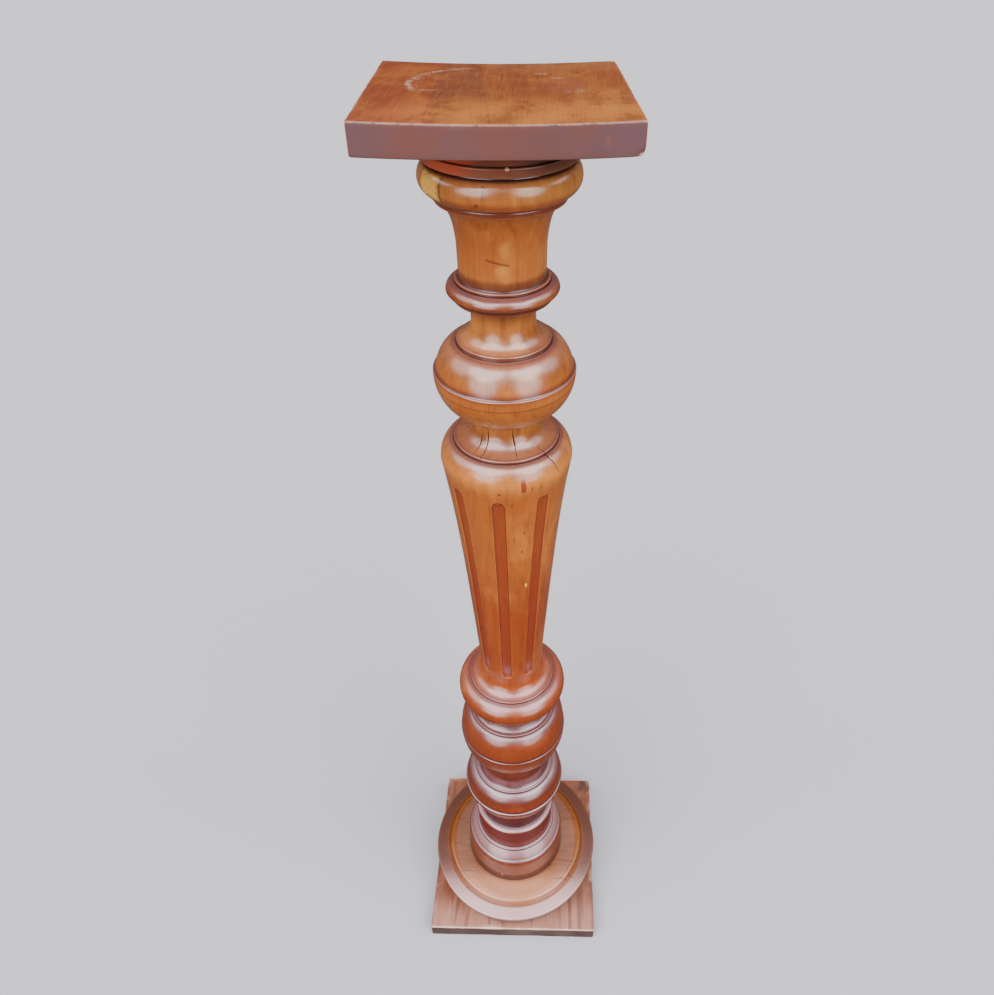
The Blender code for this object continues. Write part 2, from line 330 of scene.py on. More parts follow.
# %% [markdown]
# ## Flutes and cracks on the shaft
#
# Each flute is a groove of round section with round ends, a little wider at its top. Seen unrolled,
# it is every point within half a width of a straight line, and its depth is the height of a
# circle's arc at that distance. The gouge came out slowly at the foot, so the last few centimetres
# get shallower, like the bowl of a spoon. The flutes were spaced by eye. The columns of the grid
# follow their edges as the taper narrows, so few are needed. The drying cracks around the waist
# are thin V-shaped cuts, and a few columns are bent to run along each one.

# %% Columns that follow the flutes
FLUTE_TOP, FLUTE_BOTTOM = 826.0, 516.0
FLUTE_TOP_WIDTH, FLUTE_FOOT_WIDTH, FLUTE_DEPTH = 15.0, 12.0, 4.4
SPOON = 28.0  # length of the shallow end at the foot
FLUTE_TURNS = np.radians([-47.2, -4.9, 37.2, 83.1, 129.1, 175, 220.9, 266.9])
FLUTE_GAPS = np.diff(np.r_[FLUTE_TURNS, FLUTE_TURNS[0] + 2 * np.pi])
INSIDE_STEPS = 10
OUTSIDE = np.array([0.035, 0.16, 0.4, 0.7])


def flute_half_width(height):
    """Half a flute's width at this height, from the narrow foot to the wide top."""
    share = np.clip((height - FLUTE_BOTTOM) / (FLUTE_TOP - FLUTE_BOTTOM), 0, 1)
    return (FLUTE_FOOT_WIDTH + (FLUTE_TOP_WIDTH - FLUTE_FOOT_WIDTH) * share) / 2


def flute_half_angle(height):
    """Half the angle that a flute takes up at this height, held the same above and below it."""
    height = np.clip(height, FLUTE_BOTTOM, FLUTE_TOP)
    return np.arcsin(flute_half_width(height) / taper_radius(height))


def column_angles(height, places, periods):
    """Angle of each column at each height: inside a flute, or in the flat between two flutes.

    A place between -1 and 1 crosses the flute. From 1 to 3 it crosses the flat to the next one.
    """
    half = flute_half_angle(height)[:, None]
    inner = half * places
    outer = half + (FLUTE_GAPS[periods] - 2 * half) * (places - 1) / 2
    return FLUTE_TURNS[periods] + np.where(places <= 1, inner, outer)


inside = np.sin(np.linspace(-np.pi / 2, np.pi / 2, INSIDE_STEPS + 1))
one_period = np.r_[inside, 1 + OUTSIDE, 2.0, 3 - OUTSIDE[::-1]]
column_place = np.tile(one_period, len(FLUTE_TURNS))
column_period = np.repeat(np.arange(len(FLUTE_TURNS)), len(one_period))

# %% Where the cracks run
# Each crack: degrees round from the front at its top and bottom, its top and bottom height, and a
# third of its greatest width.
CRACKS = (
    (-40.5, -36.5, 884.0, 868.6, 0.34),
    (-28.8, -25.2, 894.0, 866.6, 0.36),
    (15.0, 16.2, 893.0, 868.8, 0.36),
    (47.6, 53.0, 871.5, 848.0, 0.42),
)
CRACK_COLUMNS = np.radians([-1.6, -0.55, 0.0, 0.55, 1.6])  # from the crack's middle line
CRACK_REACH = np.radians(9.0)  # how far on both sides the columns are bent
CRACK_FLOOR, CRACK_FADE = 838.0, 8.0  # below this height none are bent
WAIST_LEVEL = 880.0


def around(angle):
    """The same angle, brought between minus and plus half a turn."""
    return (angle + np.pi) % (2 * np.pi) - np.pi


def crack_angle(crack, height):
    """Angle of a crack at this height, a slightly wavering line between its two ends."""
    top_turn, low_turn, top, low, _ = crack
    share = np.clip((top - height) / (top - low), 0, 1)
    waver = 0.5 * np.sin(7 * share + top_turn) * np.sin(np.pi * share)
    return np.radians(top_turn + (low_turn - top_turn) * share + waver)


def crack_middle(crack):
    """Angle of a crack half way down."""
    return crack_angle(crack, np.array([(crack[2] + crack[3]) / 2]))[0]


def add_crack_columns(places, periods):
    """The columns with five more on each crack, put in by the angle that they have at the waist."""
    waist = np.array([WAIST_LEVEL])
    angles = column_angles(waist, places, periods)[0]
    half = flute_half_angle(waist)[0]
    first = FLUTE_TURNS[0] - half
    extra = np.concatenate([crack_middle(crack) + CRACK_COLUMNS for crack in CRACKS])
    wanted = first + (extra - first) % (2 * np.pi)
    number = np.searchsorted(FLUTE_TURNS - half, wanted, side="right") - 1
    local = wanted - FLUTE_TURNS[number]
    flat = 1 + 2 * (local - half) / (FLUTE_GAPS[number] - 2 * half)
    spot = np.where(local <= half, local / half, flat)
    order = np.argsort(np.r_[angles, wanted])
    return np.r_[places, spot][order], np.r_[periods, number][order]


column_place, column_period = add_crack_columns(column_place, column_period)
print(len(column_place), "columns round the shaft")


# %% The shaft's surface
def bend_to_cracks(angle, height):
    """Moves the columns near each crack sideways, so that its middle column runs along it."""
    fade = np.clip((height - CRACK_FLOOR) / CRACK_FADE, 0, 1)[:, None]
    for crack in CRACKS:
        middle = crack_middle(crack)
        shift = crack_angle(crack, height)[:, None] - middle
        near = np.clip(1 - np.abs(around(angle - middle)) / CRACK_REACH, 0, 1)
        angle = angle + shift * near * fade
    return angle


def flute_depth(angle, height, radius):
    """Depth of the grooves in millimetres: a circle's arc over the distance from a centre line."""
    local = np.min([np.abs(around(angle - turn)) for turn in FLUTE_TURNS], axis=0)
    half = flute_half_width(height)
    above = np.maximum(height - (FLUTE_TOP - FLUTE_TOP_WIDTH / 2), 0)
    below = np.maximum(FLUTE_BOTTOM + FLUTE_FOOT_WIDTH / 2 - height, 0)
    away = np.hypot(np.sin(local) * radius, above + below)
    arc_radius = (half**2 + FLUTE_DEPTH**2) / (2 * FLUTE_DEPTH)
    arc = np.sqrt(np.maximum(arc_radius**2 - away**2, 0)) - (arc_radius - FLUTE_DEPTH)
    run_out = np.clip((FLUTE_BOTTOM + SPOON - height) / SPOON, 0, 1)
    shallow = np.sqrt(1 - 0.97 * run_out**2)
    return np.where(away < half, np.maximum(arc, 0) * shallow, 0.0)


def crack_depth(angle, height, radius):
    """Depth of the drying cracks: a V, 1.6 times as deep as half its width, thin at both ends."""
    depth = np.zeros_like(angle)
    for crack in CRACKS:
        _, _, top, low, third = crack
        across = np.abs(around(angle - crack_angle(crack, height)[:, None])) * radius
        share = np.clip((top - height) / (top - low), 0, 1)
        half_width = third * np.sqrt(np.sin(np.pi * share))[:, None] * 1.5
        depth = np.maximum(depth, np.maximum(half_width - across, 0) * 1.6)
    return depth


def turned_grid(rows, angle, sink=0.0, uneven=0.12, seed=3):
    """Points of a turned surface: radius and height rows carried round, less sink, plus waves."""
    radius = rows[:, :1] - sink
    x, y = radius * np.sin(angle), -radius * np.cos(angle)
    z = np.broadcast_to(rows[:, 1:], x.shape)
    wobble = uneven * (waves(x, y, z, 90, seed) + 0.5 * waves(x, y, z, 24, seed + 1) - 1.1)
    wobble = wobble * np.clip(radius / 20, 0, 1)
    return x + wobble * np.sin(angle), y - wobble * np.cos(angle), z


def carried_round(values, angle):
    """One number per row, repeated for every column."""
    return np.broadcast_to(values[:, None], angle.shape)


height = shaft_rows[:, 1]
angle = bend_to_cracks(column_angles(height, column_place, column_period), height)
groove = flute_depth(angle, height[:, None], shaft_rows[:, :1])
split = crack_depth(angle, height, shaft_rows[:, :1])
# Painted shade: each crease's darkening, spread a few millimetres up and down the outline.
smoke = -soft_edges(shaft_rows, np.minimum(shaft_bend, 0), 4.5)
shaft_marks = {
    "flute": groove / FLUTE_DEPTH,
    "crack": np.clip(split / 0.6, 0, 1),
    "edge": carried_round(soft_edges(shaft_rows, shaft_bend, 0.9), angle),
    "smoke": carried_round(smoke, angle),
    "level": carried_round(upward(shaft_rows), angle),
}
x, y, z = turned_grid(shaft_rows, angle, groove + split)
shaft = closed_piece("shaft_surface", x, y, z, shaft_marks)

# %% [markdown]
# ## Base disc and cap ring
#
# Both are turned like the shaft, with their own outlines. The disc has a raised plateau with a
# rounded edge, a small cove, a nearly level flange and an undercut rim. The cap ring is two low
# bands with a fine groove between them.


# %% Base disc
def turned_piece(name, strokes, columns, uneven, seed, reach):
    """A plain turned piece: its outline eased and carried round, with its corners as edge."""
    rows, bend = eased(strokes)
    turns = np.linspace(0, 2 * np.pi, columns, endpoint=False)
    angle = np.broadcast_to(turns, (len(rows), columns))
    edge = carried_round(soft_edges(rows, bend, reach), angle)
    return closed_piece(name, *turned_grid(rows, angle, 0.0, uneven, seed), {"edge": edge})


DISC_LOW, DISC_HIGH = 23.3, 68.0
disc_outline = outline(
    [(8, DISC_HIGH), (30, DISC_HIGH), (60, DISC_HIGH), (74, DISC_HIGH), (85, DISC_HIGH)],
    crown((94.5, DISC_HIGH), (104.5, 64), 10),
    cove((104.5, 64), (109.5, 59.5), 6),
    [(114, 59.1), (120, 58.3), (125.7, 57.6), (126.9, 56.4), (126.9, 53.4)],
    crown((126.5, 53), (110, DISC_LOW), 12),
    [(80, DISC_LOW), (40, DISC_LOW), (8, DISC_LOW)],
)
disc = turned_piece("disc_surface", disc_outline, columns=176, uneven=0.1, seed=11, reach=1.5)

# %% Cap ring
RING_LOW, RING_HIGH = 1147.7, 1172.3
ring_outline = outline(
    [(8, RING_HIGH), (40, RING_HIGH)],
    band(64.4, RING_HIGH, 1166),
    band(64.4, 1160, 1156.6),
    [(63.9, 1156.2)],
    band(66.1, 1155.2, RING_LOW),
    [(40, RING_LOW), (8, RING_LOW)],
)
ring = turned_piece("ring_surface", ring_outline, columns=144, uneven=0.08, seed=21, reach=1.2)

# %% [markdown]
# ## Slab and plinth board
#
# A board is a square outline carried over a section: across the top, over the eased arris, down
# the side and back underneath. Rows shrink towards the middle of each face, so the faces can bow.
# The slab's boards have cupped: its left and right sides stand almost 3 mm higher than its middle.
# The arrises are worn in places. The slab has lost a chip at its lower front right corner, and its
# back right corner is blunt.


# %% A board as one closed grid
def square_walk(half, corner, per_side):
    """Points once round a square with rounded corners, with its outward direction at each."""
    quarter = np.linspace(0, np.pi / 2, 7)
    straight = np.linspace(-1, 1, per_side)[1:-1] * (half - corner)
    xs = np.r_[np.full(len(straight), half), half - corner + corner * np.cos(quarter)]
    ys = np.r_[straight, half - corner + corner * np.sin(quarter)]
    out = np.r_[np.zeros(len(straight)), quarter]
    spins = np.arange(4) * np.pi / 2
    x = np.concatenate([xs * np.cos(s) - ys * np.sin(s) for s in spins])
    y = np.concatenate([xs * np.sin(s) + ys * np.cos(s) for s in spins])
    return x, y, np.concatenate([out + s for s in spins])


def board_grid(half, low, high, corner, ease, per_side=64, face_rows=22, edge_rows=6):
    """A board's points: each row is the square walk, shrunk on the faces, full on the sides."""
    walk_x, walk_y, out = square_walk(half, corner, per_side)
    turn = np.linspace(0, np.pi / 2, 5)
    face = np.linspace(0.04, 1 - ease / half, face_rows)
    side = np.linspace(high - ease, low + ease, edge_rows + 2)[1:-1]
    inset = np.r_[half * (1 - face), ease * (1 - np.sin(turn[1:])), np.zeros(edge_rows)]
    inset = np.r_[inset, ease * (1 - np.cos(turn)), half * (1 - face[::-1][1:])]
    heights = np.r_[np.full(face_rows, high), high - ease * (1 - np.cos(turn[1:])), side]
    heights = np.r_[heights, low + ease * (1 - np.sin(turn)), np.full(face_rows - 1, low)]
    shrink = (1 - inset / half)[:, None]
    level = np.broadcast_to(heights[:, None], (len(heights), len(walk_x)))
    on_side = np.clip(1 - inset / (3 * ease), 0, 1)[:, None]
    return walk_x * shrink, walk_y * shrink, level, np.broadcast_to(out, level.shape), on_side


def worn(x, y, z, amount, low, high, seed):
    """How deep the arrises are worn: patches of waves, strongest on the two sharp edges."""
    patches = np.clip(waves(x, y, z, 55, seed) - 0.25, 0, 1)
    patches = patches + 0.6 * np.clip(waves(x, y, z, 9, seed + 1) - 0.5, 0, 1)
    nearness = np.exp(-(((z - high) / 1.6) ** 2)) + 0.5 * np.exp(-(((z - low) / 1.6) ** 2))
    return amount * patches * nearness


def dent(places, centre, spread):
    """A bell curve that is 1 at a centre and falls off by its own spread in each direction."""
    return np.exp(-sum(((p - c) / s) ** 2 for p, c, s in zip(places, centre, spread)))


def spun(x, y, turn):
    """The same points turned about Z."""
    return x * np.cos(turn) - y * np.sin(turn), x * np.sin(turn) + y * np.cos(turn)


# %% Top slab
SLAB_HIGH, SLAB_HALF = 1199.9, 104.4
SLAB_BOARD = 24.5  # the boards' own thickness
SETTLED = 0.1  # how far the slab is lowered, so that its waves stay under the solid's top
CUP = 2.7
SLAB_TURN = np.radians(3.1)
board_low = SLAB_HIGH - SLAB_BOARD
x, y, z, out, on_side = board_grid(SLAB_HALF, board_low, SLAB_HIGH, corner=2.2, ease=1.0)
wear = worn(x, y, z, 0.55, board_low, SLAB_HIGH, 31) * on_side
chip = dent((x, y, z), (103, -103, SLAB_HIGH - 23.5), (4.5, 3.5, 3.0))
chip += 0.9 * dent((x, y, z), (104, -95, SLAB_HIGH - 24), (1.8, 5.0, 2.0))
chip *= 1.0 + 0.5 * waves(x, y, z, 3.5, 41)
corner_gone = 1.6 * dent((x, y), (104, 104), (6, 6))
cut = wear + 1.7 * np.clip(chip, 0, 1.4) + corner_gone
x, y = x - cut * np.cos(out), y - cut * np.sin(out)
z = z - CUP * (1 - (x / SLAB_HALF) ** 2) - 0.25 * wear * (z > SLAB_HIGH - 3)
z = z + 0.1 * waves(x, y, z, 70, 33) * (1 - on_side) - SETTLED
slab_marks = {"wear": np.clip(wear * 1.6, 0, 1), "chip": np.clip(chip, 0, 1)}
slab = closed_piece("slab_surface", *spun(x, y, SLAB_TURN), z, slab_marks)

# %% Plinth board
PLINTH_HIGH, PLINTH_HALF = 23.0, 124.9
x, y, z, out, on_side = board_grid(
    PLINTH_HALF, 0.0, PLINTH_HIGH, corner=2.5, ease=1.1, per_side=60, face_rows=20, edge_rows=5
)
wear = worn(x, y, z, 1.1, 0.0, PLINTH_HIGH, 51) * on_side
x, y = x - wear * np.cos(out), y - wear * np.sin(out)
z = z - 0.15 * wear * (z > PLINTH_HIGH - 5)
plinth = closed_piece("plinth_surface", x, y, z, {"wear": np.clip(wear * 1.5, 0, 1)})

# %% [markdown]
# ## Shader sums
#
# A wood finish is many masks added and multiplied. Wiring each by hand hides the idea, so a small
# class wraps a node socket, and ordinary sums on it add the Math nodes. One more method makes any
# other node from its settings and its inputs. A finish is then a list of coats that are laid over
# the bare wood in order: where, how strongly, and in which tone.


# %% A socket that can be used in sums
class Shade:
    """A node's output that takes part in Python sums inside one material."""

    def __init__(self, tree, socket):
        self.tree = tree
        self.socket = socket

    def node(self, kind, settings=None, inputs=None, output=0):
        """Adds a node: its settings first, a ramp's stops among them, then its socket values."""
        made = self.tree.nodes.new("ShaderNode" + kind)
        for name, value in (settings or {}).items():
            if name == "stops":
                fill_ramp(made.color_ramp, value)
            else:
                setattr(made, name, value)
        for name, value in (inputs or {}).items():
            if isinstance(value, Shade):
                self.tree.links.new(value.socket, made.inputs[name])
            else:
                made.inputs[name].default_value = value
        return Shade(self.tree, made.outputs[output])

    def math(self, operation, *values):
        return self.node("Math", {"operation": operation}, dict(enumerate((self, *values))))

    def __add__(self, other):
        return self.math("ADD", other)

    __radd__ = __add__

    def __mul__(self, other):
        return self.math("MULTIPLY", other)

    __rmul__ = __mul__

    def __sub__(self, other):
        return self.math("SUBTRACT", other)

    def __rsub__(self, other):
        return self.math("MULTIPLY", -1.0).math("ADD", other)

    def __truediv__(self, other):
        return self.math("DIVIDE", other)

    def __pow__(self, other):
        return self.math("POWER", other)

    def __abs__(self):
        return self.math("ABSOLUTE")

    def clip(self):
        return self.node("Clamp", {}, {"Value": self})

    def ramp(self, low, high):
        """0 below low and 1 above high, with a smooth rise. low may be above high."""
        sockets = {"Value": self, "From Min": low, "From Max": high}
        return self.node("MapRange", {"interpolation_type": "SMOOTHSTEP"}, sockets)

    def within(self, low, high, soft):
        """1 between low and high, fading to 0 over soft on both sides."""
        return self.ramp(low - soft, low + soft) * self.ramp(high + soft, high - soft)

    def mix(self, first, second, blend="MIX"):
        """A colour between first and second, by this value."""
        settings = {"data_type": "RGBA", "blend_type": blend}
        return self.node("Mix", settings, {0: self, 6: first, 7: second}, output=2)


def fill_ramp(ramp, stops):
    """Sets a colour ramp's stops from (position, colour) pairs."""
    while len(ramp.elements) > 1:
        ramp.elements.remove(ramp.elements[-1])
    ramp.elements[0].position = stops[0][0]
    ramp.elements[0].color = stops[0][1]
    for position, colour in stops[1:]:
        ramp.elements.new(position).color = colour


def layered(colour, *coats):
    """The colour under coats laid on in order: each a mask, its strength and its own colour."""
    for mask, strength, over in coats:
        colour = (mask * strength).mix(colour, over)
    return colour


def from_axis(x, y):
    """Distance from the axis, by Pythagoras."""
    return (x * x + y * y) ** 0.5


def degrees_round(x, y):
    """Degrees round from the front, below zero on the left: the arc tangent of x over -y."""
    return x.math("ARCTAN2", y * -1.0) * (180 / np.pi)


def oval(x, y, centre, size, power=2.0):
    """0 in the middle of an oval, 1 on its rim. A higher power makes it squarer."""
    return ((x - centre[0]) / size[0]) ** power + ((y - centre[1]) / size[1]) ** power


# %% Tones, given as they look on a screen
MIRRORED = 0.015  # what the varnish adds to every tone by mirroring the room
LIGHT = 1.8  # light on upright faces, where 1 shows a colour as it is
LEVEL_LIGHT = 3.5  # light on level faces
DRY_GAIN = 1.15  # a dry level face looks this much brighter than a varnished one


def plain(red, green, blue):
    """A linear colour from the red, green and blue that a screen shows, 0 to 255."""
    screen = np.array([red, green, blue]) / 255
    linear = np.where(screen <= 0.04045, screen / 12.92, ((screen + 0.055) / 1.055) ** 2.4)
    return (*linear.tolist(), 1.0)


def tone(red, green, blue, light=LIGHT):
    """The deeper colour that varnished wood must have to look like this on a screen.

    The varnish mirrors a little of the pale room, and the studio's light is brighter than one.
    """
    seen = np.array(plain(red, green, blue)[:3])
    return (*np.maximum((seen - MIRRORED) / light, 0.004).tolist(), 1.0)


def level_tone(red, green, blue):
    """The same for a face that lies level, where more of the light falls."""
    return tone(red, green, blue, LEVEL_LIGHT)


def dry_tone(red, green, blue):
    """The same for a level face with hardly any varnish left, which mirrors hardly anything."""
    light = LEVEL_LIGHT * DRY_GAIN
    deep = tone(red, green, blue, light)[:3]
    return (*(value + MIRRORED / light * 0.8 for value in deep), 1.0)


print("a mid brown as a tone:", [round(value, 3) for value in tone(150, 90, 50)[:3]])

# %% [markdown]
# ## Wood grain
#
# The grain of a board is a stack of growth layers that run the length of the wood. Stretching
# noise along the grain gives the long fibres, and finer noise stretched more gives the pores. The
# finish is an old varnish: glossy and slightly milky where it is scratched. The creases are
# darkened with painted shade, and the arrises are paler, partly where the varnish has rubbed
# through and partly as a painted highlight.

# %% Shared pieces of a wood finish
GRAIN_ALONG = {"x": (0.07, 1.0, 1.0), "y": (1.0, 0.07, 1.0), "z": (1.0, 1.0, 0.07)}
COAT_ROUGHNESS, COAT_IOR = 0.25, 1.6


class Finish:
    """A material being made: its coordinates, its textures and its final shader."""

    def __init__(self, name, slot, coat):
        self.material = bpy.data.materials.new(name)
        self.material.use_nodes = True
        self.tree = self.material.node_tree
        self.slot = slot
        self.shader = self.tree.nodes["Principled BSDF"]
        self.shader.inputs["Coat Weight"].default_value = coat
        self.shader.inputs["Coat Roughness"].default_value = COAT_ROUGHNESS
        self.shader.inputs["Coat IOR"].default_value = COAT_IOR
        self.shader.inputs["Specular IOR Level"].default_value = 0.0
        self.start = Shade(self.tree, None)
        self.place = self.start.node("TexCoord", output=3)
        parts = self.tree.nodes.new("ShaderNodeSeparateXYZ")
        self.tree.links.new(self.place.socket, parts.inputs[0])
        self.x, self.y, self.z = (Shade(self.tree, socket) for socket in parts.outputs)

    def mark(self, name):
        """A number stored per point of the mesh."""
        return self.start.node("Attribute", {"attribute_name": name}, output=2)

    def stretched(self, ways):
        """The place with each direction scaled."""
        return self.start.node("VectorMath", {"operation": "MULTIPLY"}, {0: self.place, 1: ways})

    def noise(self, scale, detail=3.0, rough=0.5, ways=(1.0, 1.0, 1.0), twist=0.0):
        """Soft noise around 0.5, with the pattern's size in the scale, stretched by ways."""
        sockets = {"Scale": scale, "Detail": detail, "Roughness": rough, "Distortion": twist}
        return self.start.node("TexNoise", {}, {"Vector": self.stretched(ways), **sockets})

    def dots(self, scale, size, ways=(1.0, 1.0, 1.0)):
        """1 inside small scattered dots, 0 between them."""
        cells = self.start.node("TexVoronoi", {}, {"Vector": self.stretched(ways), "Scale": scale})
        return cells.ramp(size, size * 0.5)

    def wood(self, along, dark, light, layers):
        """Wood colour, grain and pores, from a dark and a light tone, the grain along one axis."""
        ways = GRAIN_ALONG[along]
        loose = tuple(0.5 + 0.5 * way if way < 1 else way for way in ways)
        long = tuple(way * 0.6 if way < 1 else way for way in ways)
        fibre = self.noise(220.0, 4.0, 0.6, ways, 0.3)
        layer = (self.noise(layers, 3.0, 0.55, loose, 1.2) * 9.0).math("SINE") * 0.5 + 0.5
        pore = self.noise(900.0, 2.0, 0.5, long).ramp(0.60, 0.72)
        grain = (layer * 0.45 + fibre * 0.55).clip()
        colour = grain.ramp(0.15, 0.85).mix(dark, light)
        return (pore * 0.35).mix(colour, dark, "MULTIPLY"), grain, pore

    def finish(self, piece, colour, rough, height, bare=None):
        """Wires colour, roughness and bump, and gives the piece this material.

        Where bare is 1 there is no varnish.
        """
        links = self.tree.links
        if bare is not None:
            full = self.shader.inputs["Coat Weight"].default_value
            links.new((full - bare * full).socket, self.shader.inputs["Coat Weight"])
        links.new(colour.socket, self.shader.inputs["Base Color"])
        links.new(rough.socket, self.shader.inputs["Roughness"])
        relief = self.start.node("Bump", {}, {"Strength": 0.25, "Distance": 0.0006, "Height": height})
        links.new(relief.socket, self.shader.inputs["Normal"])
        piece.data.materials.clear()
        piece.data.materials.append(self.material)
        print(self.material.name, "has", len(self.tree.nodes), "nodes")


# %% [markdown]
# ## The shaft's finish
#
# The tone changes from moulding to moulding: honey on the bell and throat, red-brown in the coves
# and on the lower rings, orange on the taper, redder in the flutes. That is a ramp over height.
# Patches that lie on one side are given by degrees round from the front and by height.

# %% Shaft: tones over height
HONEY = tone(200, 129, 60)
AMBER = tone(190, 113, 50)
OLIVE = tone(156, 96, 44)
RUSSET = tone(168, 86, 38)
CHESTNUT = tone(142, 72, 38)
MAHOGANY = tone(118, 56, 38)
DEEP_RED = tone(124, 58, 28)
DRUM_BROWN = tone(120, 66, 44)
SMOKY = tone(84, 40, 30)
BROWN = tone(134, 76, 46)
# A paler honey on the capital's top is painted light that makes up for the shade the slab casts.
PAINTED_LIGHT_HONEY = tone(206, 138, 62)
SHAFT_TONES = ((0.068, DRUM_BROWN), (0.122, DRUM_BROWN), (0.140, DEEP_RED), (0.225, DEEP_RED))
SHAFT_TONES += ((0.255, CHESTNUT), (0.284, SMOKY), (0.318, MAHOGANY), (0.370, CHESTNUT))
SHAFT_TONES += ((0.405, CHESTNUT), (0.422, SMOKY), (0.440, MAHOGANY), (0.465, CHESTNUT))
SHAFT_TONES += ((0.500, RUSSET), (0.640, RUSSET), (0.740, AMBER), (0.830, AMBER))
SHAFT_TONES += ((0.850, HONEY), (0.860, OLIVE), (0.880, OLIVE), (0.888, HONEY))
SHAFT_TONES += ((0.940, AMBER), (0.960, OLIVE), (0.992, OLIVE), (1.000, HONEY))
SHAFT_TONES += ((1.025, BROWN), (1.040, BROWN), (1.044, HONEY), (1.080, AMBER))
SHAFT_TONES += ((1.112, AMBER), (1.124, RUSSET), (1.130, PAINTED_LIGHT_HONEY), (1.148, PAINTED_LIGHT_HONEY))
SHAFT_SPAN = (0.06, 1.16)


def over_height(made, tones, span):
    """A colour ramp that runs over height in metres, from span[0] to span[1]."""
    share = (made.z - span[0]) / (span[1] - span[0])
    stops = [((height - span[0]) / (span[1] - span[0]), colour) for height, colour in tones]
    return made.start.node("ValToRGB", {"stops": stops}, {"Fac": share})


varnish = Finish("shaft_varnish", "shaft_wood", 1.0)
degrees = degrees_round(varnish.x, varnish.y)
base = over_height(varnish, SHAFT_TONES, SHAFT_SPAN)
dark_grain, grain, pore = varnish.wood("z", plain(204, 188, 178), plain(255, 255, 255), 16.0)
multiply = {"data_type": "RGBA", "blend_type": "MULTIPLY"}
colour = varnish.start.node("Mix", multiply, {0: 1.0, 6: base, 7: dark_grain}, output=2)
cloud = varnish.noise(16.0, 3.0, 0.6)
red_cloud = varnish.noise(9.0, 2.0, 0.5, (1.0, 1.0, 0.5))
colour = layered(
    colour,
    (cloud.ramp(0.48, 0.75), varnish.z.ramp(0.3, 0.7) * 0.3 + 0.05, HONEY),
    (red_cloud.ramp(0.52, 0.78), 0.35, CHESTNUT),
)
streaks = varnish.noise(170.0, 3.0, 0.6, (1.0, 1.0, 0.05))
mild = varnish.z.ramp(0.42, 0.56) * 0.25 + 0.06
colour = (streaks.ramp(0.50, 0.72) * mild).mix(colour, plain(150, 104, 84), "MULTIPLY")

# %% Shaft: patches on the capital, bell, bulb and taper
capital_band = varnish.z.within(1.119, 1.1445, 0.0015)
seam_a = abs(degrees + 40.0).ramp(1.1, 0.4) * capital_band
yellow_band = varnish.z.within(1.1245, 1.1435, 0.0012)
yellow = degrees.within(-63.0, -41.0, 1.2) * yellow_band
yellow_rim = abs(degrees + 41.5).ramp(2.6, 0.5) * yellow_band
patchy = varnish.noise(70.0, 3.0, 0.6).ramp(0.28, 0.46)
holes = varnish.dots(300.0, 0.26) * yellow * cloud.ramp(0.40, 0.52)
block = degrees.within(-8.2, 9.0, 0.5) * varnish.z.within(1.1325, 1.1425, 0.0008)
pale_bell = varnish.noise(26.0, 2.0, 0.5).ramp(0.48, 0.7)
bell_patch = degrees.within(-24.0, 14.0, 7.0) * varnish.z.within(1.0435, 1.096, 0.006)
slanted = varnish.z + degrees * 0.00017 - 1.0700 + cloud * 0.003
bell_mark = abs(slanted).ramp(0.0016, 0.0004) * degrees.within(-16.5, 12.0, 1.2)
colour = layered(
    colour,
    (yellow * patchy, 0.9, tone(236, 180, 76)),
    (yellow_rim, 0.5, tone(112, 66, 62)),
    (block, 0.3, tone(150, 76, 48)),
    (bell_patch * pale_bell, 0.55, tone(206, 146, 72)),
    (varnish.z.within(0.838, 0.860, 0.012), 0.15, tone(214, 150, 74)),
)

# %% Shaft: knots, flecks, seams and the scribed line
# Each knot: degrees round from the front, height in metres, half its width in degrees and half its
# height.
KNOTS = ((17.2, 0.8475, 2.1, 0.0075), (-3.4, 0.8385, 1.3, 0.0016), (19.2, 0.7789, 0.9, 0.0017))
KNOTS += ((17.8, 0.7492, 1.0, 0.0017), (7.3, 0.8225, 0.7, 0.0028), (-12.5, 1.1275, 1.2, 0.0014))
KNOTS += ((-34.5, 0.7483, 0.7, 0.0016), (52.0, 0.742, 0.9, 0.003), (34.3, 0.598, 1.0, 0.005))
knot_mask = cloud * 0.0
for turn, level, wide, tall in KNOTS:
    spot = oval(degrees, varnish.z, (turn, level), (wide, tall), 4.0)
    knot_mask = knot_mask.math("MAXIMUM", spot.ramp(1.3, 0.3))
flecks = varnish.dots(120.0, 0.16, (1.0, 1.0, 0.22)) * varnish.noise(14.0).ramp(0.5, 0.62)
flecks = flecks * varnish.z.within(0.50, 0.864, 0.004)
seam_b = abs(degrees + 11.3).ramp(0.9, 0.3) * varnish.z.within(0.9475, 0.9690, 0.002)
seam_c = abs(degrees + 8.2).ramp(0.7, 0.2) * varnish.z.within(1.1325, 1.1425, 0.001)
scribed = abs(varnish.z - 0.9365).ramp(0.0008, 0.0003)
ring_marks = varnish.noise(420.0, 2.0, 0.5, (0.05, 0.05, 1.0)).ramp(0.62, 0.8)
thin_dark = (seam_a * 0.55 + seam_b * 0.4 + seam_c * 0.6 + scribed * 0.55 + bell_mark * 0.6).clip()
